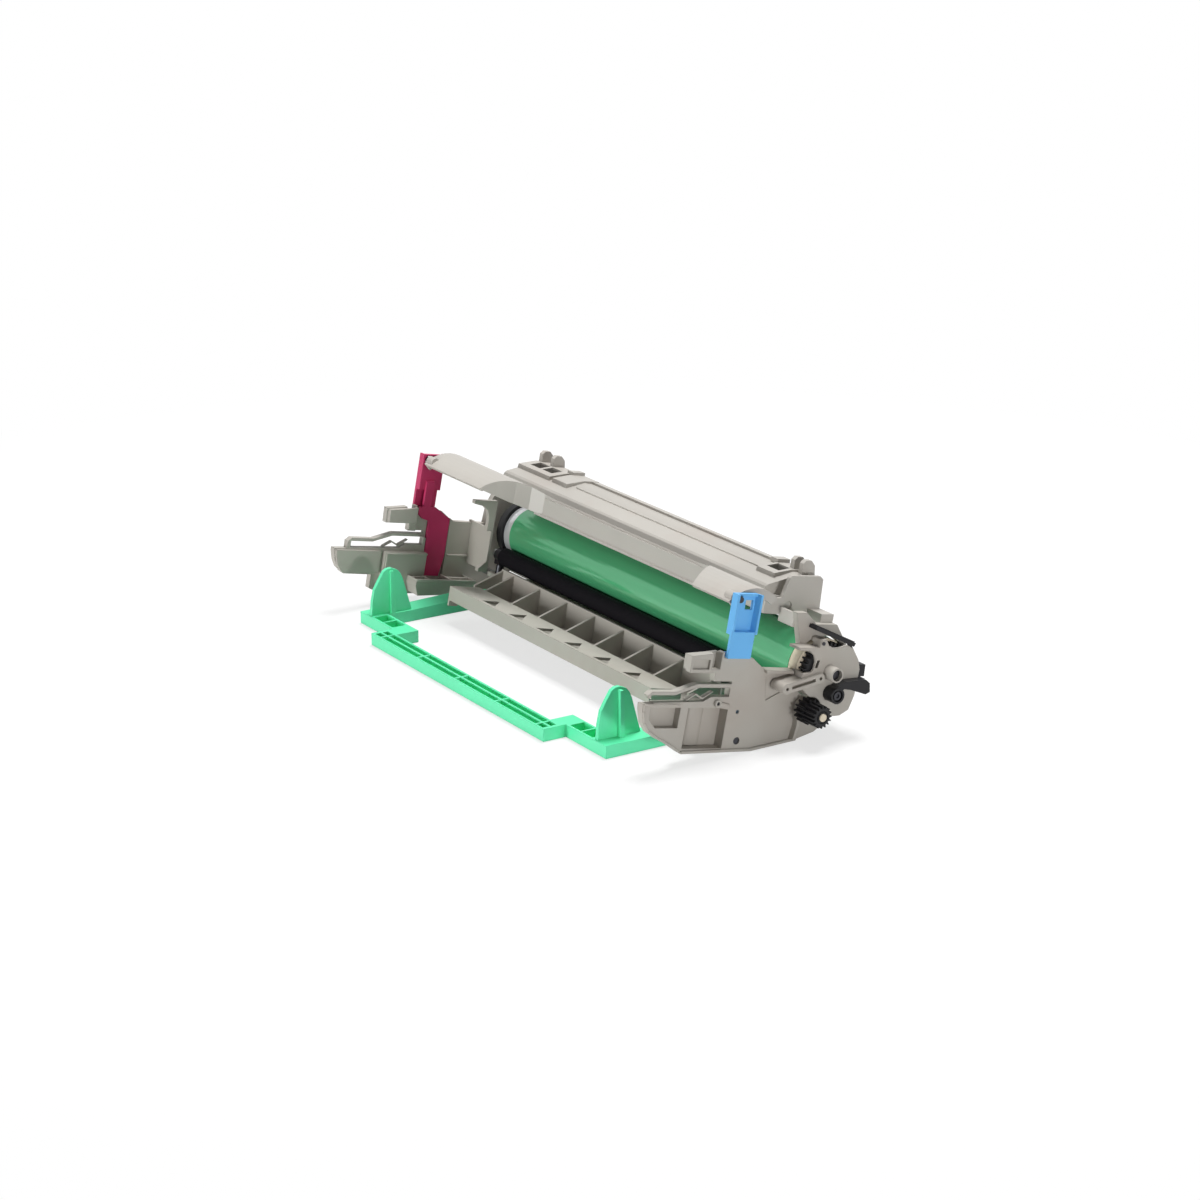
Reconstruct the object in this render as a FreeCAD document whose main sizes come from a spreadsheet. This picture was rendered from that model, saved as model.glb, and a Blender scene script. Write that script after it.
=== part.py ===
import FreeCAD, Part
import math
import os
import Sketcher

# Printer drum unit: a grey moulded frame carrying a coated drum, a shutter
# on two coloured slide links and a green U-shaped handle.
# The grey unit leans back on the rear edges of its side plates, so its parts
# are drawn square in the unit's own frame and turned by one shared tilt.
# The handle lies flat on the floor and is drawn upright.
# Across means along the drum, deep means front to rear, high means upward.

doc = FreeCAD.newDocument("drum_unit")
os.makedirs("parts", exist_ok=True)

# Driving sizes in millimetres and degrees
values = {
    "tilt": 11.0,
    "shift_across": -8.1,
    "shift_deep": 35.8,
    "plate_out": 146.0,
    "plate_wall": 3.8,
    "link_skin": 2.0,
    "drum_deep": 3.0,
    "drum_high": 35.0,
    "drum_radius": 15.0,
    "drum_wall": 0.8,
    "drum_left": -118.0,
    "drum_right": 141.0,
    "collar_long": 6.5,
    "shaft_radius": 2.0,
    "running_fit": 0.05,
    "easy_fit": 0.35,
    "roller_deep": -12.6,
    "roller_high": 22.1,
    "roller_radius": 4.9,
    "roller_core": 2.5,
    "roller_half": 112.0,
    "gear_gap": 2.0,
    "gear_long": 4.3,
    "cover_deep": 8.0,
    "boss_proud": 14.6,
    "pinion_gap": 4.0,
    "pinion_proud": 18.4,
    "lever_hub_deep": 5.4,
    "lever_hub_high": 25.0,
    "link_front": -53.6,
    "link_rear": -40.4,
    "link_low": 51.0,
    "link_top": 70.0,
    "web_inset": 2.4,
    "web_wall": 1.4,
    "hook_gap": 0.4,
    "hook_proud": 2.2,
    "pin_deep": -50.4,
    "pin_high": 67.2,
    "pin_radius": 1.5,
    "shutter_deep": -10.0,
    "shutter_high": 61.0,
    "trough_half": 101.6,
    "beam_half": 95.5,
    "bay_pitch": 26.7,
    "rib_wall": 1.6,
    "box_left": -115.0,
    "box_right": 131.0,
    "arm_in": 107.0,
    "arm_out": 119.5,
    "bar_half": 84.5,
    "handle_high": 6.4,
    "hinge_deep": -4.5,
    "hinge_high": 7.3,
    "hinge_pin": 2.0,
}
sheet = doc.addObject("Spreadsheet::Sheet", "Sizes")
for row, (alias, amount) in enumerate(values.items(), start=1):
    sheet.set("A%d" % row, alias)
    sheet.set("B%d" % row, "%g" % amount)
    sheet.setAlias("B%d" % row, alias)
doc.recompute()

V = FreeCAD.Vector
ALONG = FreeCAD.Rotation(V(0, 1, 0), 90)
ACROSS = FreeCAD.Rotation(V(1, 1, 1), 120)
LEAN = math.radians(values["tilt"])
UNIT = FreeCAD.Placement(
    V(values["shift_across"], values["shift_deep"], 0),
    FreeCAD.Rotation(V(1, 0, 0), -values["tilt"]),
)
FLOOR = FreeCAD.Placement(
    V(values["shift_across"], values["shift_deep"] - 100, 0), FreeCAD.Rotation()
)
nodes = []


def keep(item, label, placement=UNIT):
    """Name a finished sub-part and put it in its place."""
    item.Label = label
    item.Placement = placement
    nodes.append(item)
    return item


def bind(item, prop, text):
    """Bind one size of an object to the sheet."""
    item.setExpression(prop, str(text))


def loop(name, points, placement):
    """Closed outline of straight edges in a sketch."""
    sketch = doc.addObject("Sketcher::SketchObject", name)
    sketch.Placement = placement
    for index, point in enumerate(points):
        after = points[(index + 1) % len(points)]
        edge = Part.LineSegment(V(point[0], point[1], 0), V(after[0], after[1], 0))
        sketch.addGeometry(edge, False)
    return sketch


def slab(name, points, start, thick):
    """Outline in depth and height, given its thickness across."""
    sketch = loop(name + "_outline", points, FreeCAD.Placement(V(0, 0, 0), ACROSS))
    bind(sketch, ".Placement.Base.x", start)
    solid = doc.addObject("Part::Extrusion", name)
    solid.Base = sketch
    solid.DirMode = "Custom"
    solid.Dir = V(1, 0, 0)
    solid.Solid = True
    bind(solid, "LengthFwd", thick)
    return solid


def sheet_plan(name, points, low, tall):
    """Outline seen from above, given its height."""
    sketch = loop(name + "_plan", points, FreeCAD.Placement())
    bind(sketch, ".Placement.Base.z", low)
    solid = doc.addObject("Part::Extrusion", name)
    solid.Base = sketch
    solid.DirMode = "Custom"
    solid.Dir = V(0, 0, 1)
    solid.Solid = True
    bind(solid, "LengthFwd", tall)
    return solid


def block(name, across, deep, high):
    """Straight block; each pair holds a start and a length."""
    box = doc.addObject("Part::Box", name)
    bind(box, ".Placement.Base.x", across[0])
    bind(box, "Length", across[1])
    bind(box, ".Placement.Base.y", deep[0])
    bind(box, "Width", deep[1])
    bind(box, ".Placement.Base.z", high[0])
    bind(box, "Height", high[1])
    return box


def rod(name, across, deep, high, radius):
    """Round bar lying across the unit."""
    bar = doc.addObject("Part::Cylinder", name)
    bar.Placement = FreeCAD.Placement(V(0, 0, 0), ALONG)
    bind(bar, "Radius", radius)
    bind(bar, "Height", across[1])
    bind(bar, ".Placement.Base.x", across[0])
    bind(bar, ".Placement.Base.y", deep)
    bind(bar, ".Placement.Base.z", high)
    return bar


def join(name, pieces):
    """One moulding from overlapping shapes."""
    fused = doc.addObject("Part::MultiFuse", name)
    fused.Shapes = pieces
    fused.Refine = True
    return fused


def carve(name, base, tools):
    """Base with the given shapes cut away."""
    tool = tools[0]
    if len(tools) > 1:
        tool = join(name + "_tools", tools)
    cut = doc.addObject("Part::Cut", name)
    cut.Base = base
    cut.Tool = tool
    cut.Refine = True
    return cut


def group(name, pieces):
    """Separate solids kept as one sub-part."""
    bundle = doc.addObject("Part::Compound", name)
    bundle.Links = pieces
    return bundle


def span(side, near, far):
    """Start and length between two distances from the middle, on one side."""
    length = "(%s) - (%s)" % (far, near)
    if side > 0:
        return (str(near), length)
    return ("-(%s)" % far, length)


def beside(offset):
    """A place across, measured from the outer face of a side plate."""
    return "(Sizes.plate_out + %g)" % offset


SIDES = (("Left", -1), ("Right", 1))
DRUM = ("Sizes.drum_deep", "Sizes.drum_high")
# Faces that keep their distance from the outer faces of the side plates
PLATE_IN = "(Sizes.plate_out - Sizes.plate_wall)"
LINK_SEAT = "(Sizes.plate_out - Sizes.link_skin)"
GEAR_FROM = "(Sizes.plate_out + Sizes.gear_gap)"
COVER_FACE = "(Sizes.plate_out + Sizes.cover_deep)"
PINION_FROM = "(Sizes.plate_out + Sizes.pinion_gap)"
PINION_FACE = "(Sizes.plate_out + Sizes.pinion_proud)"
WEB_IN = "(Sizes.plate_out - Sizes.web_inset)"
HOOK_IN = "(Sizes.plate_out + Sizes.hook_gap)"
HOOK_OUT = "(Sizes.plate_out + Sizes.hook_proud)"

# Drum tube with its bare end at the left
tube_across = ("Sizes.drum_left", "Sizes.drum_right - Sizes.drum_left")
tube_outer = rod("TubeOuter", tube_across, *DRUM, "Sizes.drum_radius")
tube_hollow = rod("TubeHollow", (-120, 264), *DRUM, "Sizes.drum_radius - Sizes.drum_wall")
keep(carve("DrumTube", tube_outer, [tube_hollow]), "drum_tube")

# Left flange: a dark rim wider than the drum and a plug inside the tube
rim = rod("LeftRim", (-123, 4.6), *DRUM, "Sizes.drum_radius + 1.6")
left_plug = rod("LeftPlug", (-119, 10), *DRUM, "Sizes.drum_radius - Sizes.drum_wall")
left_bore = rod("LeftBore", (-131, 30), *DRUM, "Sizes.shaft_radius + Sizes.running_fit")
left_flange = carve("LeftRimBody", join("LeftFlangeBody", [rim, left_plug]), [left_bore])
keep(left_flange, "drum_left_flange")

# Right collar of nearly the drum's own size
collar_across = ("Sizes.drum_right + 0.1", "Sizes.collar_long")
collar = rod("Collar", collar_across, *DRUM, "Sizes.drum_radius - 0.3")
right_plug = rod("RightPlug", ("Sizes.drum_right - 9", 10), *DRUM,
                 "Sizes.drum_radius - Sizes.drum_wall")
right_bore = rod("RightBore", (130, 20), *DRUM, "Sizes.shaft_radius + Sizes.running_fit")
keep(carve("DrumCollar", join("CollarBody", [collar, right_plug]), [right_bore]),
     "drum_right_collar")

# Gear train at the right: drum gear, small idler and the long drive pinion
MODULE = 0.8
DRUM_TEETH = 33
IDLER_TEETH = 10
PINION_TEETH = 14
DRUM_PITCH = DRUM_TEETH * MODULE / 2
IDLER_PITCH = IDLER_TEETH * MODULE / 2
PINION_PITCH = PINION_TEETH * MODULE / 2
MESH_PLAY = 0.08
drum_axis = (values["drum_deep"], values["drum_high"])
PINION_TURN = math.radians(-111.5)
PINION_REACH = 20.74
pinion_axis = (
    drum_axis[0] + PINION_REACH * math.cos(PINION_TURN),
    drum_axis[1] + PINION_REACH * math.sin(PINION_TURN),
)
near_reach = DRUM_PITCH + IDLER_PITCH + MESH_PLAY
far_reach = IDLER_PITCH + PINION_PITCH + MESH_PLAY
swing = math.acos(
    (near_reach ** 2 + PINION_REACH ** 2 - far_reach ** 2) / (2 * near_reach * PINION_REACH)
)
idler_turn = PINION_TURN + swing
idler_axis = (
    drum_axis[0] + near_reach * math.cos(idler_turn),
    drum_axis[1] + near_reach * math.sin(idler_turn),
)
to_pinion = math.atan2(pinion_axis[1] - idler_axis[1], pinion_axis[0] - idler_axis[0])
idler_step = 2 * math.pi / IDLER_TEETH
pinion_step = 2 * math.pi / PINION_TEETH
idler_phase = idler_turn + math.pi + idler_step / 2
lag = (to_pinion - idler_phase) % idler_step
pinion_phase = to_pinion + math.pi + lag * IDLER_PITCH / PINION_PITCH + pinion_step / 2


def toothed(name, teeth, phase, centre, start, thick, module=MODULE):
    """Toothed disc with straight flanks and a little play."""
    pitch = teeth * module / 2
    step = 2 * math.pi / teeth
    root = pitch - 1.1 * module
    tip = pitch + 0.85 * module
    corners = ((-0.31, root), (-0.12, tip), (0.12, tip), (0.31, root))
    points = []
    for tooth in range(teeth):
        for share, radius in corners:
            angle = phase + (tooth + share) * step
            points.append((centre[0] + radius * math.cos(angle),
                           centre[1] + radius * math.sin(angle)))
    return slab(name, points, start, thick)


drum_teeth = toothed("DrumTeeth", DRUM_TEETH, idler_turn, drum_axis,
                     GEAR_FROM, "Sizes.gear_long")
gear_bore = rod("GearBore", (beside(0), 10), *DRUM, "Sizes.shaft_radius + Sizes.running_fit")
keep(carve("DrumGear", drum_teeth, [gear_bore]), "drum_gear")

idler_teeth = toothed("IdlerTeeth", IDLER_TEETH, idler_phase, idler_axis,
                      GEAR_FROM, "Sizes.gear_long")
post_radius = 1.5
idler_bore = rod("IdlerBore", (beside(0), 10), *idler_axis, "%g + Sizes.running_fit" % post_radius)
keep(carve("IdlerGear", idler_teeth, [idler_bore]), "idler_gear")

# The pinion meshes near the plate and ends in a slimmer, finer toothed nose
DRIVE_LONG = 6.0
NOSE_TEETH = 16
NOSE_MODULE = 0.62
pinion_teeth = toothed("PinionTeeth", PINION_TEETH, pinion_phase, pinion_axis,
                       PINION_FROM, DRIVE_LONG)
nose_long = "Sizes.pinion_proud - Sizes.pinion_gap - %g" % (DRIVE_LONG - 0.2)
nose_teeth = toothed("PinionNoseTeeth", NOSE_TEETH, pinion_phase, pinion_axis,
                     PINION_FROM + " + %g" % (DRIVE_LONG - 0.2), nose_long, NOSE_MODULE)
pinion_shaft_radius = 1.9
pinion_bore = rod("PinionBore", (beside(2), 20), *pinion_axis,
                  "%g + Sizes.running_fit" % pinion_shaft_radius)
pinion_dish = rod("PinionDish", (PINION_FACE + " - 0.8", 2), *pinion_axis, 3.1)
pinion_step_cut = rod("PinionCollar", (PINION_FACE + " - 0.8", 0.8), *pinion_axis, 2.7)
dish = carve("PinionDishRing", pinion_dish, [pinion_step_cut])
pinion_body = join("PinionBody", [pinion_teeth, nose_teeth])
keep(carve("DrivePinion", pinion_body, [pinion_bore, dish]), "drive_pinion")
pinion_shaft = rod("PinionShaft", (beside(0.1), 19.0), *pinion_axis, pinion_shaft_radius)
keep(group("PinionShaftBody", [pinion_shaft]), "pinion_shaft")

# The shaft ends just inside the left plate's face and stands out of the right one
SHAFT_GAP = 0.3
SHAFT_PROUD = 12.5
shaft_start = "%g - %s" % (SHAFT_GAP, PLATE_IN)
shaft_long = "%s - %g + %s" % (PLATE_IN, SHAFT_GAP, beside(SHAFT_PROUD))
drum_shaft = rod("DrumShaft", (shaft_start, shaft_long), *DRUM, "Sizes.shaft_radius")
keep(group("DrumShaftBody", [drum_shaft]), "drum_shaft")

# Charge roller under the front of the drum, its core and two bearings
ROLLER = ("Sizes.roller_deep", "Sizes.roller_high")
BEARING = ("Sizes.roller_half + 1", "Sizes.roller_half + 6")
BEARING_BORE = ("Sizes.roller_half", "Sizes.roller_half + 10")
SHELF_END = "Sizes.roller_half + 7.5"
spring_across = values["roller_half"] + 3.5


def roller_reach(beyond):
    """Start and length of a rod that stands out of both ends of the roller."""
    return ("-(Sizes.roller_half + %g)" % beyond, "2 * (Sizes.roller_half + %g)" % beyond)


sleeve = rod("Sleeve", ("-Sizes.roller_half", "2 * Sizes.roller_half"), *ROLLER,
             "Sizes.roller_radius")
sleeve_bore = rod("SleeveBore", roller_reach(8), *ROLLER, "Sizes.roller_core")
keep(carve("ChargeSleeve", sleeve, [sleeve_bore]), "charge_roller")
core = rod("RollerCore", roller_reach(9), *ROLLER, "Sizes.roller_core")
keep(group("RollerCoreBody", [core]), "roller_core")
bearings = []
for side_name, side in SIDES:
    body = rod(side_name + "Bearing", span(side, *BEARING), *ROLLER, 3.6)
    stem = block(side_name + "BearingStem", span(side, *BEARING),
                 ("Sizes.roller_deep - 2.6", 5.2), ("Sizes.roller_high - 5", 4))
    bore = rod(side_name + "BearingBore", span(side, *BEARING_BORE), *ROLLER,
               "Sizes.roller_core + Sizes.running_fit")
    bearings.append(carve(side_name + "BearingBlock", join(side_name + "BearingBody",
                                                           [body, stem]), [bore]))
keep(group("RollerBearings", bearings), "roller_bearings")

# Side plates: thin walls with a long nose, a springy guide arm, a tab and a foot
FOOT_FRONT = -30.0
FOOT_REAR = -4.0
foot = [(FOOT_FRONT, FOOT_FRONT * math.tan(LEAN)), (FOOT_REAR, FOOT_REAR * math.tan(LEAN))]
nose_left = [(-93.5, 17.2), (-101.2, 17.0), (-101.1, 15.0), (-99.8, 10.3), (-97.7, 6.5),
             (-93.5, 3.2)]
nose_right = [(-89.5, 17.2), (-95.5, 17.0), (-95.2, 13.5), (-93.7, 7.6), (-90.3, 3.2)]
keel_right = [(-84.4, 0.0), (-78.3, -2.6), (-70.2, -6.9)]
keel_left = [(-76.5, 3.0), (-76.5, -4.6), (-70.2, -6.9)]
heel = [(6.8, 3.1), (17.1, 11.4), (23.0, 19.0), (24.6, 34.0), (19.0, 44.0), (9.4, 56.0),
        (-3.0, 56.0), (-8.5, 44.0), (-9.5, 33.6)]
shoulder = [(-29.6, 34.0), (-37.1, 39.2), (-53.8, 39.2), (-53.8, 42.0), (-61.2, 41.0),
            (-72.3, 40.0), (-72.0, 32.0), (-57.4, 32.0), (-57.4, 27.9), (-47.0, 27.9)]
arm = [(-47.0, 26.6), (-66.3, 26.6), (-77.8, 22.9), (-91.2, 22.9), (-93.5, 21.0)]
slit = [(-91.5, 17.6), (-61.6, 18.2), (-57.3, 20.4), (-47.2, 20.4), (-47.2, 24.8),
        (-66.8, 24.8), (-78.3, 21.2), (-91.5, 21.2)]
groove = [(-53.0, 44.0), (-53.0, 27.9), (-49.8, 25.4), (-45.6, 24.2), (-45.6, -9.0),
          (-33.8, -9.0), (-33.8, -6.4), (-31.8, 5.0), (-31.8, 36.0), (-41.0, 44.0)]

for side_name, side in SIDES:
    keel = keel_right if side > 0 else keel_left
    nose = nose_right if side > 0 else nose_left
    tip = nose[1][0]
    outline = nose + keel + foot + heel + shoulder + arm
    wall_span = span(side, PLATE_IN, "Sizes.plate_out")
    wall = slab(side_name + "Wall", outline, *wall_span)
    bosses = [wall]
    cuts = [slab(side_name + "Slit", slit, *span(side, beside(-16), beside(14)))]
    # thicker nose and tab with shallow sunk panels on the outer face
    nose_block = [(tip + 0.8, 16.4), (tip + 1.0, 13.5), (tip + 2.8, 7.8), (tip + 5.8, 4.2),
                  (-73.0, 4.2), (-73.0, 16.4)]
    bosses.append(slab(side_name + "NoseBlock", nose_block,
                       *span(side, beside(-5.4), beside(-1))))
    tab_block = [(-71.6, 39.6), (-61.2, 40.4), (-54.6, 41.2), (-54.6, 32.6), (-71.4, 32.6)]
    bosses.append(slab(side_name + "TabBlock", tab_block,
                       *span(side, beside(-6.6), beside(-1))))
    nose_panel = [(tip + 4.8, 15.2), (tip + 4.8, 9.6), (tip + 9.0, 5.4), (-73.8, 5.4),
                  (-73.8, 15.2)]
    cuts.append(slab(side_name + "NosePanel", nose_panel, *span(side, beside(-4), beside(4))))
    cuts.append(block(side_name + "TabPanelFront", span(side, beside(-1.4), beside(4)),
                      (-70.8, 9.4), (33.6, 4.6)))
    cuts.append(block(side_name + "TabPanelRear", span(side, beside(-5), beside(4)),
                      (-60.0, 4.9), (33.6, 9.0)))
    # tall sunk panel behind the nose
    bosses.append(block(side_name + "PanelBack", span(side, beside(-7.6), beside(-1)),
                        (-71.4, 26.6), (-6.0, 22.6)))
    cuts.append(block(side_name + "TallPanel", span(side, beside(-6), beside(4)),
                      (-69.4, 22.9), (-4.6, 19.6)))
    cuts.append(slab(side_name + "Groove", groove,
                     *span(side, beside(-16), LINK_SEAT + " + Sizes.easy_fit / 2")))
    # shelf along the foot, slotted for the link strip
    shelf = [(-56.0, 3.0), (-56.0, 0.4), (-54.0, -4.6), (-18.0, -4.6 + 1.6), (-18.0, 3.0)]
    bosses.append(slab(side_name + "Shelf", shelf, *span(side, beside(-18), beside(-1))))
    if side < 0:
        # inner guard before the drum end, with a forward hook at its head
        low_guard = [(-18.0, 11.4), (-16.6, 11.4), (-16.6, 35.0), (-18.0, 35.0)]
        bosses.append(slab("LowGuard", low_guard, *span(side, beside(-24.5), beside(-1))))
        high_guard = [(-16.6, 34.0), (-16.6, 50.8), (-31.0, 50.8), (-31.0, 48.8),
                      (-24.6, 47.6), (-22.0, 45.4), (-20.6, 41.6), (-20.6, 34.0)]
        bosses.append(slab("HighGuard", high_guard, *span(side, beside(-24.5), beside(-21.5))))
        guard_foot = [(-18.0, 17.0), (-22.5, 13.0), (-22.5, 11.4), (-16.6, 11.4),
                      (-16.6, 17.0)]
        bosses.append(slab("GuardFoot", guard_foot, *span(side, beside(-24.5), beside(-21.5))))
    # slide groove and the bore for the drum shaft
    shaft_bore = rod(side_name + "ShaftBore", span(side, beside(-16), beside(4)), *DRUM,
                     "Sizes.shaft_radius + Sizes.easy_fit")
    if side > 0:
        shaft_bore = rod("RightDrumOpening", (beside(-16), 30), *DRUM, "Sizes.drum_radius + 0.6")
        window = slab("DrumWindow", [(3.0, 35.0), (-16.0, 35.0), (-16.0, 44.5), (-9.0, 44.5),
                                     (-2.0, 49.0)], beside(-6), 20)
        cuts.append(window)
    cuts.append(shaft_bore)
    if side > 0:
        # raised ribs along the rear and the top of the outer face, and its lower rim
        ridge = [(-6.5, -0.2), (-5.5, 6.4), (-6.0, 18.0), (-1.0, 22.9), (-4.2, 27.9),
                 (-5.4, 27.2), (-2.7, 22.9), (-7.4, 18.6), (-6.9, 6.4), (-7.9, 0.1)]
        bosses.append(slab("Ridge", ridge, beside(-1), 4.4))
        top_rim = [(-29.6, 34.0), (-29.0, 32.4), (-13.4, 32.4), (-13.4, 33.8)]
        bosses.append(slab("TopRim", top_rim, beside(-1), 3.4))
        low_rim = [(-70.2, -6.9), (FOOT_FRONT, FOOT_FRONT * math.tan(LEAN)),
                   (FOOT_REAR, FOOT_REAR * math.tan(LEAN)),
                   (FOOT_REAR, FOOT_REAR * math.tan(LEAN) + 1.3),
                   (FOOT_FRONT, FOOT_FRONT * math.tan(LEAN) + 1.3), (-69.6, -5.6)]
        bosses.append(slab("LowRim", low_rim, beside(-1), 2.2))
        fillet = [(-28.4, 33.0), (-13.6, 33.0), (-17.6, 22.6), (-25.4, 18.6)]
        cuts.append(slab("UpperPanel", fillet, "Sizes.plate_out - 0.7", 0.8))
        # upright that carries the end of the long box
        upright = [(-15.9, 61.4), (-9.7, 61.5), (-2.0, 55.0), (-2.0, 48.0), (-9.0, 44.0),
                   (-10.5, 45.5)]
        bosses.append(slab("Upright", upright, *wall_span))
        # small round marks, screw seat and post for the idler
        cuts.append(rod("PlateHole", (beside(-2.5), 6), -40.7, 13.1, 0.9))
        cuts.append(rod("PlateSeat", (beside(-1.4), 6), -38.3, -1.1, 1.8))
        bosses.append(rod("IdlerPost", (beside(-1), 7.7), *idler_axis, post_radius))
        cuts.append(rod("PinionSeat", ("Sizes.plate_out", 10), *pinion_axis,
                        "%g + Sizes.running_fit" % pinion_shaft_radius))
    plate = carve(side_name + "Plate", join(side_name + "PlateBody", bosses), cuts)
    keep(plate, "left_side_plate" if side < 0 else "right_side_plate")

# Hollow cover over the gears, with an arch in front and a boss round the shaft
cover_outline = [(10.0, 13.2), (4.0, 15.6), (2.2, 19.0), (-3.0, 21.5), (-6.5, 23.0),
                 (-12.8, 27.6), (-12.8, 34.4), (-7.6, 35.0), (-6.6, 36.2), (-6.2, 39.6),
                 (-7.4, 42.8), (-10.6, 45.2), (-17.0, 45.4), (-17.0, 46.7), (-5.2, 46.9),
                 (-4.4, 50.4), (-1.9, 50.8), (0.1, 47.9), (3.2, 46.7), (6.4, 46.9),
                 (11.4, 48.2), (15.1, 46.5), (19.5, 41.0), (21.2, 36.5), (20.9, 23.5),
                 (18.8, 16.4), (14.1, 13.6)]
COVER_SPAN = "Sizes.cover_deep"
cover_body = slab("CoverBody", cover_outline, "Sizes.plate_out", COVER_SPAN)
cover_wall = 1.2
boss_span = "Sizes.boss_proud - Sizes.cover_deep + %g" % cover_wall
boss_start = COVER_FACE + " - %g" % cover_wall
boss_radius = 3.5
bush_radius = 2.75
cover_boss = rod("CoverBoss", (boss_start, boss_span), *DRUM, boss_radius)
hollow_span = (beside(-1), "Sizes.cover_deep - %g + 1" % cover_wall)
gear_hollow = rod("GearHollow", hollow_span, *DRUM, DRUM_PITCH + 1.2)
idler_hollow = rod("IdlerHollow", hollow_span, *idler_axis, IDLER_PITCH + 1.3)
pinion_hollow = rod("PinionHollow", (beside(-1), 20), *pinion_axis, PINION_PITCH + 1.4)
bush_bore = rod("BushBore", (beside(-1), 20), *DRUM, bush_radius)
lobe_hole = rod("LobeHole", (beside(6), 4), -3.4, 48.8, 0.9)
eye_slot = slab("EyeSlot", [(-6.0, 36.9), (-4.4, 36.9), (-3.6, 40.6), (-5.2, 40.6)], beside(6.6), 4)
# long boss with a slot between two small round holes, in front of the cover
lift = math.radians(15.8)
bar_run = (math.cos(lift), math.sin(lift))
bar_first = (-21.6, 27.0)
bar_last = (-2.8, 32.3)
bar_half = 2.4
bar_round = 2.6


def along_bar(start, run, side):
    """A point beside the middle line of the slotted boss."""
    return (start[0] + run * bar_run[0] - side * bar_run[1],
            start[1] + run * bar_run[1] + side * bar_run[0])


def bar_outline(start, first_run, end, last_run, half):
    """Straight band between two points of the slotted boss."""
    return [along_bar(start, first_run, half), along_bar(start, first_run, -half),
            along_bar(end, last_run, -half), along_bar(end, last_run, half)]


BAR_LONG = (bar_last[0] - bar_first[0]) / bar_run[0]
BAR_FACE = 10.0
leg_long = 9.4
bar_pieces = [
    slab("BarPlate", bar_outline(bar_first, 0, bar_last, 0, bar_half),
         "Sizes.plate_out + %g" % (BAR_FACE - 3.2), 3.2),
    slab("BarLeg", bar_outline(bar_first, 0, bar_first, leg_long, bar_half),
         "Sizes.plate_out + 0.1", BAR_FACE - 0.1),
    rod("BarFront", ("Sizes.plate_out + 0.1", BAR_FACE - 0.1), *bar_first, bar_round),
    rod("BarRear", (COVER_FACE + " - 1", "%g - Sizes.cover_deep + 1"
                    % BAR_FACE), *bar_last, bar_half)]
bar_cuts = [rod("BarHole%d" % count, ("Sizes.plate_out + %g" % (BAR_FACE - 2), 4), *spot, 0.8)
            for count, spot in enumerate((bar_first, bar_last))]
bar_cuts.append(slab("BarSlot", bar_outline(bar_first, 2.8, bar_last, -3.0, 0.8),
                     "Sizes.plate_out + %g" % (BAR_FACE - 2.4), 4))
collar_hollow = rod("CollarHollow", (beside(-1), 3.1), *DRUM, "Sizes.drum_radius + 0.4")
cover_shell = carve("CoverHollowed", join("CoverShell", [cover_body, cover_boss]),
                    [collar_hollow, gear_hollow, idler_hollow, pinion_hollow, bush_bore])
gear_cover = carve("GearCover", join("CoverWithBar", [cover_shell] + bar_pieces),
                   [lobe_hole, eye_slot] + bar_cuts)
keep(gear_cover, "gear_cover")

bush_outer = rod("BushOuter", (COVER_FACE + " - 1", 5.4), *DRUM, bush_radius)
bush_inner = rod("BushInner", (beside(4), 20), *DRUM, "Sizes.shaft_radius + Sizes.running_fit")
keep(carve("CoverBush", bush_outer, [bush_inner]), "cover_bush")

# Latch lever turning on a screw in the cover
LEVER = ("Sizes.lever_hub_deep", "Sizes.lever_hub_high")
hub_radius = 3.9
lever_screw_radius = 1.4
lever_hub = rod("LeverHub", (COVER_FACE + " + 0.1", 6.6), *LEVER, hub_radius)
lever_hub_at = (values["lever_hub_deep"], values["lever_hub_high"])
lever_offsets = [(-2.8, 2.8), (5.2, 6.6), (17.0, 7.6), (19.6, 6.0), (20.6, 1.6), (18.2, 0.4),
                 (8.6, 2.6), (4.6, 3.0), (0.6, -3.0)]
lever_shape = [(lever_hub_at[0] + deep, lever_hub_at[1] + high)
               for deep, high in lever_offsets]
lever_arm = slab("LeverArm", lever_shape, COVER_FACE + " + 0.6", 4.2)
lever_bore = rod("LeverBore", (beside(4), 20), *LEVER, "%g + Sizes.running_fit" % lever_screw_radius)
lever_dish = rod("LeverDish", (beside(13.4), 5), *LEVER, 2.9)
keep(carve("LatchLever", join("LeverBody", [lever_hub, lever_arm]), [lever_bore, lever_dish]),
     "latch_lever")
lever_stud = rod("LeverStud", (COVER_FACE, 6.2), *LEVER, lever_screw_radius)
lever_head = rod("LeverHead", (beside(13.5), 0.9), *LEVER, 2.0)
lever_socket = rod("LeverSocket", (beside(13.8), 2), *LEVER, 1.1)
keep(carve("LatchScrew", join("LatchScrewBody", [lever_stud, lever_head]), [lever_socket]),
     "latch_screw")

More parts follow.
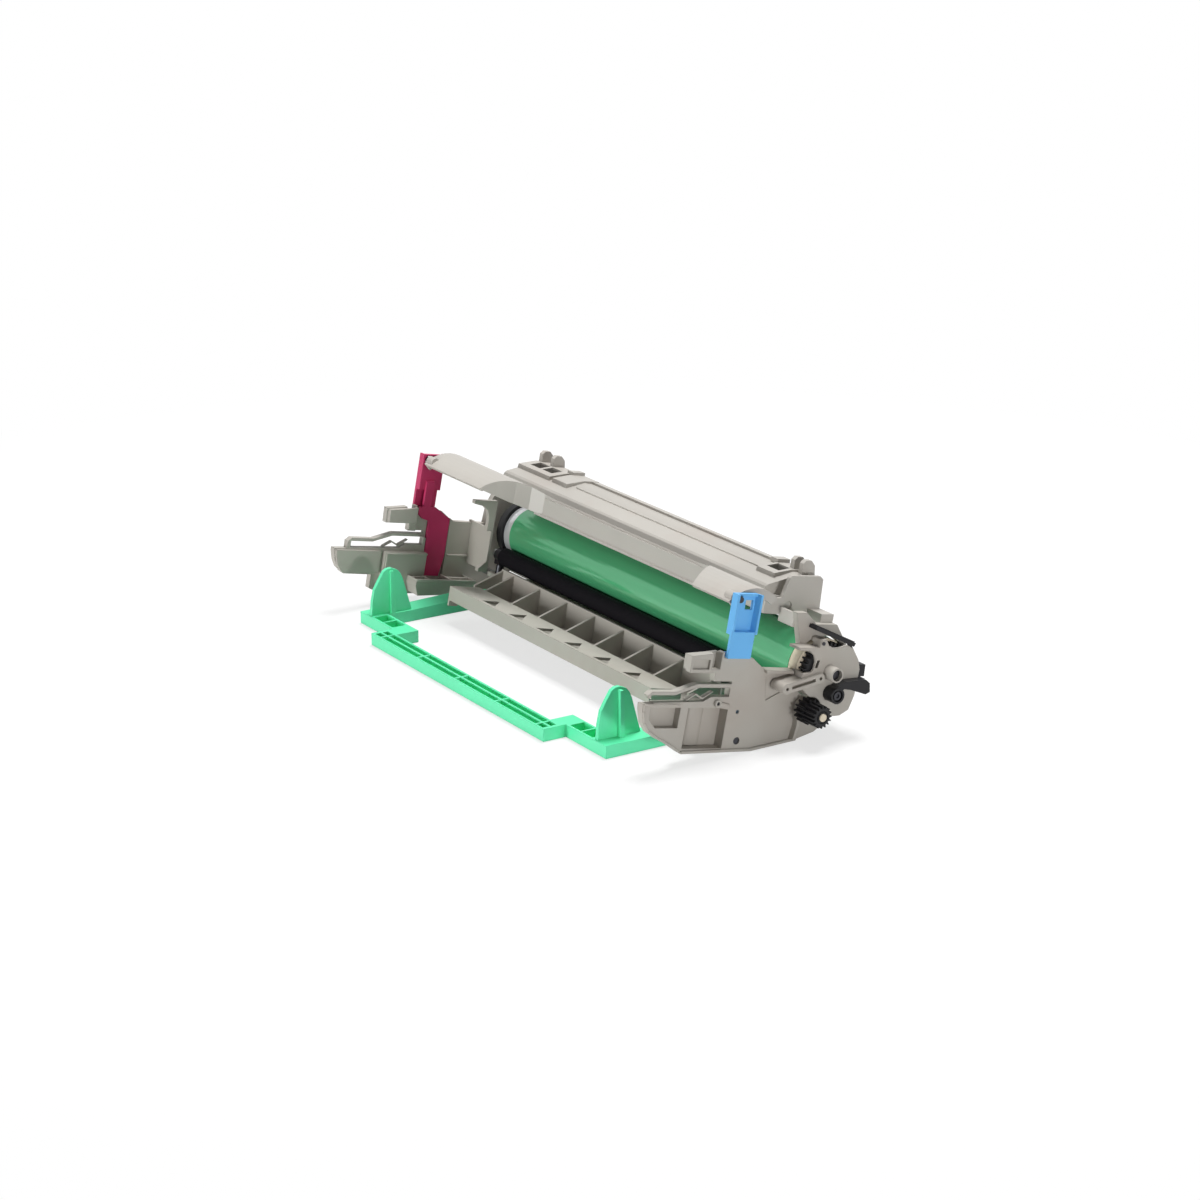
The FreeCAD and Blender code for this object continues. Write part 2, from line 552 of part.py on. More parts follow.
# Dark ribbed strip over the gears and two small blocks at the back
band_front = (-7.2, 56.6)
band_rear = (18.0, 48.6)
band_wall = 1.8
strip_band = [band_front, (band_front[0] - 0.4, band_front[1] - band_wall),
              (band_rear[0] - 0.8, band_rear[1] - band_wall), band_rear]
BAND = (beside(0.2), 5.6)
guard_pieces = [slab("GuardBand", strip_band, *BAND)]
TEETH_OF_BAND = 9
for count in range(TEETH_OF_BAND):
    share = (count + 0.5) / TEETH_OF_BAND
    deep = band_front[0] + (band_rear[0] - band_front[0]) * share
    high = band_front[1] + (band_rear[1] - band_front[1]) * share
    guard_pieces.append(block("GuardRib%d" % count, BAND, (deep - 0.4, 0.8),
                              (high - 0.8, 1.2)))
guard_tail = [(16.4, 48.4), (17.0, 46.9), (20.6, 42.0), (22.0, 37.4), (23.4, 37.8),
              (21.8, 42.8), (18.2, 47.9)]
guard_pieces.append(slab("GuardTail", guard_tail, BAND[0], 1.4))
guard_pieces.append(slab("GuardUpper", [(21.8, 38.2), (26.2, 38.2), (26.6, 32.4), (22.2, 32.2)],
                         *BAND))
guard_pieces.append(slab("GuardLower", [(22.2, 33.0), (22.2, 27.4), (27.4, 27.6), (27.4, 31.2),
                                        (24.4, 31.3), (24.4, 33.0)], *BAND))
keep(join("GearGuard", guard_pieces), "gear_guard")

# Small screws seated in the cover lobe and in the outer face of the plate
screw_heads = [rod("LobeScrew", (beside(7), 1.4), -3.4, 48.8, 0.9),
               rod("PlateScrew", (beside(-1.4), 0.9), -38.3, -1.1, 1.8)]
keep(group("SideScrews", screw_heads), "side_screws")

# Trough in front of the drum: rear wall, floor, sloping ribs and a front beam
trough_span = ("-Sizes.trough_half", "2 * Sizes.trough_half")
beam_span = ("-Sizes.beam_half", "2 * Sizes.beam_half")
rear_wall = [(-20.2, 18.0), (-18.6, 18.0), (-18.6, 2.0), (-20.2, 2.0)]
trough_pieces = [slab("TroughWall", rear_wall, *trough_span)]
trough_pieces.append(slab("TroughFloor", [(-55.0, 2.0), (-55.0, 3.4), (-18.6, 3.4),
                                          (-18.6, 2.0)], *beam_span))
trough_pieces.append(slab("BeamFront", [(-55.0, 2.0), (-55.0, 9.6), (-53.4, 9.6),
                                        (-53.4, 2.0)], *beam_span))
trough_pieces.append(slab("BeamTop", [(-55.0, 8.2), (-55.0, 9.6), (-36.6, 9.0),
                                      (-36.6, 7.6)], *beam_span))
rib_shape = [(-19.4, 17.6), (-36.6, 8.8), (-53.6, 8.8), (-53.6, 2.6), (-19.4, 2.6)]
rib_places = [-89.6 + count * values["bay_pitch"] for count in range(7)]
for count, place in enumerate(rib_places):
    trough_pieces.append(slab("Rib%d" % count, rib_shape, "%g - Sizes.rib_wall / 2" % place,
                              "Sizes.rib_wall"))
end_rib = [(-19.4, 17.6), (-36.6, 8.8), (-36.6, 7.0), (-19.4, 7.0)]
for side_name, side in SIDES:
    trough_pieces.append(slab(side_name + "EndRib", end_rib,
                              *span(side, "Sizes.trough_half - 1.6", "Sizes.trough_half")))
    trough_pieces.append(slab(side_name + "BeamEnd", [(-55.0, -1.0), (-55.0, 9.6),
                                                      (-36.6, 9.0), (-36.6, 2.0),
                                                      (-46.0, 2.0), (-50.0, -1.0)],
                              *span(side, "Sizes.beam_half - 1.6", "Sizes.beam_half")))
trough_cuts = []
for count in range(6):
    corner = -66.2 + count * values["bay_pitch"]
    notch = [(corner, -52.8), (corner + 12.0, -52.3), (corner + 0.8, -42.2)]
    trough_cuts.append(sheet_plan("Notch%d" % count, notch, 4.4, 7))
trough_cuts.append(block("BayOpening", (-93.8, 3.2), (-42.0, 21.0), (0.0, 5.0)))
keep(carve("Trough", join("TroughBody", trough_pieces), trough_cuts), "trough")

# Frame behind and below the drum, joining the two side plates
middle_shape = [(-18.6, 2.0), (4.6, 3.0), (18.6, 10.4), (24.0, 19.4), (24.6, 42.0),
                (22.6, 42.0), (22.0, 20.0), (17.2, 12.0), (4.0, 5.0), (-18.6, 4.0)]
outer_shape = [(12.0, 7.0), (18.6, 10.4), (24.0, 19.4), (24.6, 42.0), (22.6, 42.0),
               (22.0, 20.0), (17.2, 12.0), (12.0, 9.2)]
frame_pieces = [slab("FrameMiddle", middle_shape, -103.5, 207)]
for side_name, side in SIDES:
    frame_pieces.append(slab(side_name + "FrameEnd", outer_shape,
                             *span(side, 100, PLATE_IN)))
    end_wall = [(-18.6, 2.2), (16.0, 10.0), (16.0, 14.0), (-1.0, 12.2), (-18.6, 12.2)]
    frame_pieces.append(slab(side_name + "FrameCheek", end_wall, *span(side, 100, 103.5)))
    frame_pieces.append(block(side_name + "RollerShelf", span(side, 102, SHELF_END),
                              (-17.4, 8.4), (9.8, 2.4)))
    frame_pieces.append(rod(side_name + "HingeLug", span(side, 100, 106), "Sizes.hinge_deep",
                            "Sizes.hinge_high", 4.2))
hinge_bores = []
for side_name, side in SIDES:
    hinge_bores.append(rod(side_name + "LugBore", span(side, 98, 108), "Sizes.hinge_deep",
                           "Sizes.hinge_high", "Sizes.hinge_pin"))
keep(carve("RearFrame", join("RearFrameBody", frame_pieces), hinge_bores), "rear_frame")

handle_pins = []
for side_name, side in SIDES:
    handle_pins.append(rod(side_name + "HandlePin", span(side, 98.6, PLATE_IN),
                           "Sizes.hinge_deep", "Sizes.hinge_high", "Sizes.hinge_pin"))
keep(group("HandlePins", handle_pins), "handle_pins")

# Springs that press the charge roller bearings toward the drum
springs = []
for side_name, side in SIDES:
    coil = doc.addObject("Part::Cylinder", side_name + "Spring")
    bind(coil, "Radius", 2.2)
    bind(coil, "Height", "Sizes.roller_high - 5 - 12.2")
    seat = V(side * spring_across, values["roller_deep"], 12.2)
    coil.Placement = FreeCAD.Placement(seat, FreeCAD.Rotation())
    springs.append(coil)
keep(group("RollerSprings", springs), "roller_springs")

# Long box above the drum with a sloping lid, end blocks, lugs and an end plate
box_span = ("Sizes.box_left", "124 - Sizes.box_left")
box_shape = [(-23.0, 57.0), (-23.0, 61.0), (-19.6, 68.4), (-18.4, 69.4), (-1.0, 74.6),
             (8.0, 74.0), (9.4, 57.0)]
inner_shape = [(-21.2, 58.8), (-21.2, 61.0), (-18.0, 67.0), (-1.0, 72.4), (6.4, 72.0),
               (7.4, 58.8)]
box_pieces = [slab("BoxBody", box_shape, *box_span)]
box_cuts = [slab("BoxHollow", inner_shape, "Sizes.box_left + 1.8", "122.2 - Sizes.box_left - 1.8")]
end_block = [(-13.0, 64.0), (-11.6, 73.6), (-1.0, 75.6), (8.4, 75.4), (9.0, 64.0)]
box_pieces.append(slab("LeftBlock", end_block, "Sizes.box_left", 31.5))
box_pieces.append(slab("LeftSmallBlock", end_block, "Sizes.box_left + 34.5", 14.5))
box_pieces.append(slab("RightBlock", end_block, 104.5, 14))
for count, (start, wide) in enumerate((("Sizes.box_left + 5", 9.6), ("Sizes.box_left + 17", 9.6),
                                       (106.4, 9.6))):
    box_cuts.append(block("BlockPocket%d" % count, (start, wide), (-7.4, 6.8), (69.6, 12)))
# end plate beyond the gap in which the shutter's right arm swings
end_plate = [(-24.0, 57.0), (-24.0, 64.0), (-14.2, 64.6), (-11.6, 74.4), (-10.4, 75.4),
             (6.6, 75.6), (8.4, 74.2), (9.4, 57.0), (9.4, 50.5), (6.0, 50.5), (4.0, 56.0)]
box_pieces.append(slab("EndPlate", end_plate, "Sizes.box_right - 2.2", 2.2))
end_link = [(-1.0, 60.0), (-1.0, 74.6), (8.0, 74.0), (9.0, 60.0)]
box_pieces.append(slab("EndLink", end_link, 120, "Sizes.box_right - 121"))
lug = [(1.0, 70.0), (1.0, 79.8), (2.6, 81.4), (5.6, 81.4), (8.0, 79.0), (8.8, 74.0),
       (8.8, 70.0)]
lug_wall = 3.0
for count, place in enumerate((-115.0, -103.5, 113.5, 120.5)):
    box_pieces.append(slab("Lug%d" % count, lug, place, lug_wall))
for count, place in enumerate((-86.0, 98.0)):
    box_pieces.append(block("StepBlock%d" % count, (place, 5.5), (1.0, 7.6), (70.0, 7.0)))
for side_name, side in SIDES:
    # hidden posts that carry the box between the side plates
    post_near = 113.4 if side < 0 else 129.2
    post = [(2.0, 52.6), (9.4, 52.6), (9.4, 60.0), (2.0, 60.0)]
    box_pieces.append(slab(side_name + "BoxPost", post,
                           *span(side, post_near, PLATE_IN)))
box_pieces.append(slab("RearRail", [(4.0, 70.0), (4.0, 75.4), (8.4, 75.2), (8.8, 70.0)],
                       *box_span))
for side_name, side in SIDES:
    near = 110 if side < 0 else 119.5
    box_cuts.append(rod(side_name + "ShutterBore", span(side, near, near + 12.5),
                        "Sizes.shutter_deep", "Sizes.shutter_high", 2.05))
box = carve("CleanerBox", join("CleanerBoxBody", box_pieces), box_cuts)
keep(box, "cleaner_box")

# Cleaning blade: a bent metal bracket and a soft lip just off the drum
bracket = [(5.0, 57.0), (9.0, 57.0), (9.0, 55.6), (6.6, 55.6), (6.6, 52.4), (5.0, 52.4)]
keep(group("BladeBracketBody", [slab("BladeBracket", bracket, -112, 240)]), "blade_bracket")
lip = [(6.6, 55.0), (8.0, 55.0), (8.0, 50.2), (6.6, 50.2)]
keep(group("BladeLipBody", [slab("BladeLip", lip, -111, 238)]), "blade_lip")

# Curved shutter over the front of the drum, cut away in the middle
SHELL_RADIUS = 20.7
SHELL_WALL = 1.8
SHELL_CENTRE = (-38.6, 51.1)


def arc_points(radius, first, last, steps):
    """Points on the shutter's curve between two angles in degrees."""
    points = []
    for count in range(steps + 1):
        angle = math.radians(first + (last - first) * count / steps)
        points.append((SHELL_CENTRE[0] + radius * math.cos(angle),
                       SHELL_CENTRE[1] + radius * math.sin(angle)))
    return points


shell_shape = arc_points(SHELL_RADIUS, 137, 52, 9)
shell_shape += arc_points(SHELL_RADIUS - SHELL_WALL, 52, 137, 9)
WING_END = values["plate_out"] - 4.0
shell = slab("ShutterShell", shell_shape, -WING_END, 2 * WING_END)
RIDGE_DEEP = -27.2
skirt_wall = 1.6
left_edge = [(-84.0, -54.0), (-79.6, -46.0), (-74.0, -38.0), (-68.0, -32.0), (-60.0, -28.4),
             (-50.0, RIDGE_DEEP)]
right_edge = [(112.0, -54.0), (107.0, -46.0), (101.0, -38.0), (95.0, -32.0),
              (88.0, -28.8), (78.0, RIDGE_DEEP)]
cut_corners = [(left_edge[0][0], -64.0)] + left_edge + right_edge[::-1]
cut_corners.append((right_edge[0][0], -64.0))
cutaway = sheet_plan("ShutterCutaway", cut_corners, 50, 30)
shutter_pieces = [carve("ShutterWings", shell, [cutaway])]
# the walls that drop from the cut edges, deepest at the ridge
under_shell = arc_points(SHELL_RADIUS - 0.4, 137, 56, 7) + [(-26.0, 57.0), (-40.0, 60.6)]
for side_name, edge, way in (("Left", left_edge, -1), ("Right", right_edge, 1)):
    band = edge + [(x + way * skirt_wall, y + 0.2) for x, y in edge[::-1]]
    wall_plan = sheet_plan(side_name + "EdgeWall", band, 50, 30)
    room = slab(side_name + "EdgeRoom", under_shell, -WING_END, 2 * WING_END)
    edge_wall = doc.addObject("Part::Common", side_name + "EdgeSkirt")
    edge_wall.Base = wall_plan
    edge_wall.Tool = room
    shutter_pieces.append(edge_wall)
skirt_shape = [(-28.4, 66.9), (-26.4, 66.9), (-26.0, 66.4), (-26.0, 64.6), (-27.2, 64.0),
               (-27.2, 57.0), (-29.6, 57.0), (-29.6, 57.9), (-28.4, 58.2)]
shutter_pieces.append(slab("ShutterSkirt", skirt_shape, -66.0, 158.0))
for side_name, side in SIDES:
    flange = arc_points(SHELL_RADIUS - 0.6, 137, 52, 6)
    flange += arc_points(SHELL_RADIUS - 4.5, 52, 137, 6)
    shutter_pieces.append(slab(side_name + "ShutterFlange", flange,
                               *span(side, WING_END - 1.6, WING_END)))
    hinge_arm = [(-28.5, 66.0), (-26.0, 66.6), (-22.0, 66.0), (-8.0, 63.8), (-7.2, 61.0),
                 (-8.0, 58.2), (-12.0, 58.2), (-27.2, 61.5)]
    arm_start = 118.2 if side < 0 else 125.0
    shutter_pieces.append(slab(side_name + "ShutterArm", hinge_arm,
                               *span(side, arm_start, arm_start + 2.8)))
pivots = [rod("LeftPivot", (-120, 9.5), "Sizes.shutter_deep", "Sizes.shutter_high", 2.0),
          rod("RightPivot", (120, 10.4), "Sizes.shutter_deep", "Sizes.shutter_high", 2.0)]
PIN_INNER = values["plate_out"] - 8.0
link_pins = []
pin_seats = []
for side_name, side in SIDES:
    link_pins.append(rod(side_name + "LinkPin", span(side, PIN_INNER, beside(0.6)), "Sizes.pin_deep",
                         "Sizes.pin_high", "Sizes.pin_radius"))
    pin_seats.append(rod(side_name + "PinSeat", span(side, PIN_INNER, beside(4)), "Sizes.pin_deep",
                         "Sizes.pin_high", "Sizes.pin_radius"))
    shutter_pieces.append(rod(side_name + "PinBoss", span(side, PIN_INNER - 2, WING_END),
                              "Sizes.pin_deep", "Sizes.pin_high", "Sizes.pin_radius + 0.9"))
shutter = carve("Shutter", join("ShutterBody", shutter_pieces + pivots), pin_seats)
keep(shutter, "shutter")
keep(group("ShutterPins", link_pins), "shutter_pins")

# Two coloured links: an outward channel round the shutter's pin, an apron outside the
# plate and a flat strip that slides in the groove of the plate
strip = [(-52.6, 41.4), (-52.6, 37.2), (-49.4, 34.8), (-45.2, 33.6), (-45.2, 16.0),
         (-44.4, 3.2), (-34.2, 3.2), (-32.2, 14.6), (-32.2, 35.2), (-42.2, 41.4)]
WEB = WEB_IN + " + Sizes.web_wall"
LOW = "Sizes.link_low"
TALL = "Sizes.link_top - Sizes.link_low"
DEPTH = ("Sizes.link_front", "Sizes.link_rear - Sizes.link_front")
flange_wall = 1.2
for side_name, side in SIDES:
    outer = span(side, WEB_IN, HOOK_OUT)
    pieces = [block(side_name + "Web", span(side, WEB_IN, WEB), DEPTH, (LOW, TALL)),
              block(side_name + "FrontFlange", outer, ("Sizes.link_front", flange_wall),
                    (LOW, TALL)),
              block(side_name + "TopFlange", span(side, WEB_IN, WEB_IN + " + 2.6"),
                    DEPTH, ("Sizes.link_top - %g" % flange_wall, flange_wall)),
              block(side_name + "Step", outer, DEPTH, ("Sizes.link_low - 0.4", 1.6)),
              block(side_name + "Apron", span(side, HOOK_IN, HOOK_OUT), DEPTH,
                    ("Sizes.link_low - 11.5", 12.0))]
    web_across = values["plate_out"] - values["web_inset"]
    hook_across = values["plate_out"] + values["hook_proud"]
    rear = [(web_across, values["link_rear"]),
            (hook_across, values["link_rear"] + 1.4),
            (hook_across, values["link_rear"] + 1.4 - flange_wall),
            (web_across, values["link_rear"] - flange_wall)]
    pieces.append(sheet_plan(side_name + "RearFlange",
                             [(side * across, deep) for across, deep in rear], LOW, TALL))
    pieces.append(slab(side_name + "Strip", strip,
                       *span(side, PLATE_IN + " + 0.1", LINK_SEAT)))
    pieces.append(block(side_name + "Neck", span(side, PLATE_IN + " + 0.1",
                                                 LINK_SEAT), (-50.0, 5.0), (40.0, 12.0)))
    pieces.append(block(side_name + "NeckHead", span(side, PLATE_IN + " + 0.1", WEB),
                        (-50.0, 5.0), ("Sizes.link_low - 0.4", 5.0)))
    window = block(side_name + "Window", span(side, beside(-6), beside(1)), (-46.4, 4.2), (62.2, 4.6))
    pin_slot = rod(side_name + "PinSlot", span(side, beside(-6), beside(1)), "Sizes.pin_deep",
                   "Sizes.pin_high", "Sizes.pin_radius + Sizes.easy_fit + 0.25")
    link = carve(side_name + "Link", join(side_name + "LinkBody", pieces), [window, pin_slot])
    keep(link, "left_link" if side < 0 else "right_link")

# Small leaf springs lying in the slits under the guide arms
leaf = [(-71.0, 18.3), (-66.0, 21.0), (-62.0, 19.0), (-56.6, 22.4), (-56.4, 23.0),
        (-62.0, 19.8), (-66.0, 21.8), (-71.4, 18.6)]
leaves = []
for side_name, side in SIDES:
    leaves.append(slab(side_name + "Leaf", leaf, *span(side, beside(-3.1), beside(-0.6))))
keep(group("GuideSprings", leaves), "guide_springs")

# Handle lying on the floor: a ribbed channel bar, two corner fins and two arms
BAR_FRONT = -6.0
BAR_DEEP = 9.7
CORNER_FRONT = 6.6
CORNER_DEEP = 10.0
skin = 1.1
hinge_lift = math.radians(values["tilt"])
hinge_back = 100 + values["hinge_deep"] * math.cos(hinge_lift) \
    + values["hinge_high"] * math.sin(hinge_lift)
hinge_up = values["hinge_high"] * math.cos(hinge_lift) \
    - values["hinge_deep"] * math.sin(hinge_lift)
handle_pieces = [block("BarMiddle", ("-Sizes.bar_half", "2 * Sizes.bar_half"),
                       (BAR_FRONT, BAR_DEEP), (0, "Sizes.handle_high"))]
handle_cuts = []
arm_side_shape = [(CORNER_FRONT, 0.0), (CORNER_FRONT, 6.4), (30.0, 6.2), (84.0, 7.8),
                  (hinge_back, 12.0), (hinge_back + 3.4, 10.6), (hinge_back + 4.0, hinge_up),
                  (hinge_back + 3.0, 5.4), (hinge_back, 4.2), (80.0, 0.0)]
fin_shape = [(7.4, 4.0), (8.2, 14.0), (9.6, 20.4), (12.2, 24.8), (15.3, 29.6), (17.4, 30.8),
             (20.0, 30.9), (23.6, 29.3), (25.2, 27.4), (26.6, 24.2), (32.2, 4.0)]
for side_name, side in SIDES:
    handle_pieces.append(block(side_name + "Jog", span(side, "Sizes.bar_half - 9.5",
                                                       "Sizes.bar_half"),
                               (BAR_FRONT, 20.0), (0, "Sizes.handle_high")))
    handle_pieces.append(block(side_name + "Corner", span(side, "Sizes.bar_half - 9.5",
                                                          "Sizes.arm_out"),
                               (CORNER_FRONT, CORNER_DEEP), (0, "Sizes.handle_high")))
    handle_pieces.append(slab(side_name + "HandleArm", arm_side_shape,
                              *span(side, "Sizes.arm_in", "Sizes.arm_out")))
    handle_pieces.append(slab(side_name + "Fin", fin_shape, *span(side, 108.6, 111.0)))
    ridge_shape = [(18.6, 4.0), (18.6, 29.6), (20.4, 29.6), (21.4, 4.0)]
    handle_pieces.append(slab(side_name + "FinRidge", ridge_shape,
                              *span(side, 107.2, 113.6)))
    handle_cuts.append(rod(side_name + "HandleEye", span(side, 100, 125), hinge_back,
                           hinge_up, "Sizes.hinge_pin + Sizes.running_fit"))
    for count in range(2):
        near = 86.6 + 10.4 * count
        handle_cuts.append(block("%sCornerPocket%d" % (side_name, count),
                                 span(side, near, near + 9.2),
                                 (CORNER_FRONT + skin, CORNER_DEEP - 2 * skin), (1.6, 8)))
half_row = (BAR_DEEP - 3 * skin) / 2
cell_ends = [-82.9, -76.0, -38.3, -0.8, 38.3, 76.0, 82.9]
for count in range(len(cell_ends) - 1):
    start = cell_ends[count] + 0.6
    long = cell_ends[count + 1] - cell_ends[count] - 1.2
    for row in range(2):
        front = BAR_FRONT + skin + row * (half_row + skin)
        handle_cuts.append(block("Cell%d_%d" % (count, row), (start, long),
                                 (front, half_row), (1.6, 8)))
keep(carve("Handle", join("HandleBody", handle_pieces), handle_cuts), "handle", FLOOR)

doc.recompute()
faulty = [item.Name for item in doc.Objects
          if "Invalid" in item.State or "Error" in item.State]
if faulty:
    raise RuntimeError("objects in error: " + ", ".join(faulty))
for item in nodes:
    shape = item.Shape
    if shape.isNull() or not shape.isValid() or not shape.Solids:
        raise RuntimeError("bad sub-part: " + item.Label)
for item in nodes:
    item.Shape.exportStep("parts/%s.step" % item.Label)
    room = item.Shape.BoundBox
    print("%-18s %2d solids %9.0f mm3  x %7.1f %7.1f  y %7.1f %7.1f  z %6.1f %6.1f" % (
        item.Label, len(item.Shape.Solids), item.Shape.Volume, room.XMin, room.XMax,
        room.YMin, room.YMax, room.ZMin, room.ZMax))
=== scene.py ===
# %% [markdown]
# Printer drum unit
# The object is a grey moulded frame that carries a coated drum, a ribbed tray, a
# curved shutter on two coloured links, a small gear train and a green handle.
# The solids come from the engineering model, so this script gives them their
# finishes, adds the small pieces that only the eye needs, and lights the scene.

# %% Load the engineering model
import math
import bpy
from mathutils import Matrix, Vector


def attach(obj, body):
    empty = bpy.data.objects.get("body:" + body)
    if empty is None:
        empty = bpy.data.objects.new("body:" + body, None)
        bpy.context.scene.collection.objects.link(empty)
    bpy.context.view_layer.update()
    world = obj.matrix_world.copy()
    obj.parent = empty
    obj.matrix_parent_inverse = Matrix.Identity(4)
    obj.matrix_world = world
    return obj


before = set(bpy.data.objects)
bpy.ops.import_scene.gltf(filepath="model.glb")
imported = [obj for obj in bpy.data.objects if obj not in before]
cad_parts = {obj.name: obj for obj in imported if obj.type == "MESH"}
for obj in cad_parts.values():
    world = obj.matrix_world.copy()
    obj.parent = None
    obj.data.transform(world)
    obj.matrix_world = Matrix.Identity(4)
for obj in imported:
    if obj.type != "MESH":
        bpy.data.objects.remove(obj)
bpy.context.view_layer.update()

# %% [markdown]
# Camera
# The picture was taken from the front right, a little above the object, with a
# long lens. The place, the angles and the focal length were fitted to straight
# edges of known direction, so the camera is written as numbers and not guessed.

# %% Camera
CAMERA_AT = (1.1979, -0.7642, 0.5)
CAMERA_AZIMUTH = 57.09
CAMERA_DOWN = 18.03
CAMERA_ROLL = 0.09
FOCAL_MM = 89.19
SENSOR_MM = 36.0
view_data = bpy.data.cameras.new("view_camera")
view_data.lens = FOCAL_MM
view_data.sensor_width = SENSOR_MM
view_camera = bpy.data.objects.new("view_camera", view_data)
bpy.context.scene.collection.objects.link(view_camera)
view_camera.matrix_world = (
    Matrix.Translation(CAMERA_AT)
    @ Matrix.Rotation(math.radians(CAMERA_AZIMUTH), 4, "Z")
    @ Matrix.Rotation(math.radians(90 - CAMERA_DOWN), 4, "X")
    @ Matrix.Rotation(math.radians(CAMERA_ROLL), 4, "Z")
)
bpy.context.scene.camera = view_camera
print("camera lens", view_data.lens)

# %% [markdown]
# Shader maths as plain expressions
# A finish is easier to read as a sum of masks than as a web of boxes. Nodes could
# be placed and linked one by one, but then the sum is hard to see. One function
# makes any node, sets it up and gives each of its sockets a value or a link.


# %% Any node
def feed(tree, slot, value):
    """Link a wire to the slot, or set the slot's own value."""
    if isinstance(value, Wire):
        tree.links.new(value.socket, slot)
    else:
        slot.default_value = value


def add_node(tree, kind, settings, sockets):
    """Any node: its settings are set first, then its sockets by name or number."""
    made = tree.nodes.new(kind)
    for setting, value in settings.items():
        setattr(made, setting, value)
    for key, value in sockets.items():
        feed(tree, made.inputs[key], value)
    return made


print("nodes can be made")

# %% [markdown]
# Sockets with arithmetic
# Masks are added, taken away and multiplied all the time. Naming a Math node for
# each of these would bury the formula, so a small class wraps a socket, and an
# ordinary expression on it makes the nodes. The clamp keeps a mask between 0 and
# 1, and the step turns a soft pattern into a clearer one.


# %% Sockets with arithmetic
class Wire:
    """A socket with arithmetic."""

    def __init__(self, tree, socket):
        self.tree = tree
        self.socket = socket

    def _math(self, operation, first, second):
        made = add_node(self.tree, "ShaderNodeMath", {"operation": operation},
                        {0: first, 1: second})
        return Wire(self.tree, made.outputs[0])

    def __add__(self, other):
        return self._math("ADD", self, other)

    def __radd__(self, other):
        return self._math("ADD", other, self)

    def __sub__(self, other):
        return self._math("SUBTRACT", self, other)

    def __rsub__(self, other):
        return self._math("SUBTRACT", other, self)

    def __mul__(self, other):
        return self._math("MULTIPLY", self, other)

    def __rmul__(self, other):
        return self._math("MULTIPLY", other, self)

    def __pow__(self, other):
        return self._math("POWER", self, other)

    def clamp(self):
        """The value held between 0 and 1."""
        above = self._math("MAXIMUM", self, 0.0)
        return self._math("MINIMUM", above, 1.0)

    def step(self, low, high):
        """Straight ramp from 0 at low to 1 at high."""
        return ((self - low) * (1.0 / (high - low))).clamp()


print("sockets can be added and multiplied")

# %% [markdown]
# One finish, one material
# Each finish on the object is one material with its own patterns. They all read
# Object coordinates, because every piece keeps its place in its mesh, so a
# pattern neither slides nor stretches from piece to piece. The class below holds
# the material, its shader and the few patterns that the finishes share.


# %% A finish
class Finish:
    """One material with its node tree."""

    def __init__(self, name):
        self.material = bpy.data.materials.new(name)
        self.material.use_nodes = True
        self.tree = self.material.node_tree
        self.shader = next(n for n in self.tree.nodes if n.type == "BSDF_PRINCIPLED")

    def out(self, kind, sockets=None, settings=None, output=0):
        """One output of a new node."""
        made = add_node(self.tree, kind, settings or {}, sockets or {})
        return Wire(self.tree, made.outputs[output])

    def place(self):
        """Object coordinates."""
        return self.out("ShaderNodeTexCoord", output="Object")

    def axis(self, name):
        """One of the object coordinates."""
        return self.out("ShaderNodeSeparateXYZ", {"Vector": self.place()}, output=name)

    def noise(self, scale, detail, rough=0.55, stretch=None):
        """Soft random patches, from about 0.3 to 0.7."""
        where = self.place()
        if stretch:
            where = self.out("ShaderNodeMapping", {"Vector": where, "Scale": stretch})
        return self.out("ShaderNodeTexNoise", {
            "Vector": where, "Scale": scale, "Detail": detail, "Roughness": rough})

    def mix(self, factor, first, second):
        """The first colour where the factor is 0, and the second where it is 1."""
        return self.out("ShaderNodeMix", {0: factor, 6: first, 7: second},
                        {"data_type": "RGBA"}, output=2)

    def feed(self, **sockets):
        """Set or link sockets of the shader."""
        for key, value in sockets.items():
            feed(self.tree, self.shader.inputs[key.replace("_", " ")], value)


print("finishes can be made")

# %% [markdown]
# Colours
# The eye reads a colour in steps of 0 to 255, and the shader wants a share of
# light, which isn't in proportion to it. Typing the share by hand hides what the
# colour is, so each one is written as it looks and worked out here.


# %% Colours as they look
def colour(red, green, blue):
    """A colour seen as 0 to 255, as the shader wants it."""
    def straight(value):
        value = value / 255
        return value / 12.92 if value <= 0.04045 else ((value + 0.055) / 1.055) ** 2.4
    return (straight(red), straight(green), straight(blue), 1.0)


def tinted(tone, red, green, blue):
    """The tone with each channel multiplied, and never past full light."""
    factors = (red, green, blue)
    return tuple(min(1.0, channel * factor) for channel, factor in zip(tone, factors)) + (1.0,)


def dimmed(tone, share):
    """The tone with the same share of every channel."""
    return tinted(tone, share, share, share)


print("half grey is", round(colour(128, 128, 128)[0], 3))

# %% [markdown]
# Moulded plastic
# Every grey, green, magenta and blue piece is injection moulded. Real mouldings
# have a fine spark texture, slightly uneven gloss and soft edges, and the grey
# ones show fine specks and patches that handling has turned a little warmer. A
# scanned texture could do it, but it would need a fitted layout on each piece. A
# Bevel node rounds the edges in the shading, one noise makes the texture and
# another shifts tone and gloss by a few percent, all without any layout.

# %% Moulded plastics
PATCH_SCALE = 14.0
GRAIN_SCALE = 900.0
GRAIN_STRENGTH = 0.5
GLOSS_SWING = 0.12
PATCH_RAMP = (0.3, 0.7)
DARK_SIDE = 1.6
SPECK_SCALE = 260.0
SPECK_RAMP = (0.64, 0.78)
SPECK_DEPTH = 0.6
HANDLED_SCALE = 24.0
HANDLED_RAMP = (0.5, 0.68)
HANDLED_SHARE = 0.45
HANDLED_TINT = (0.9, 0.82, 0.8)


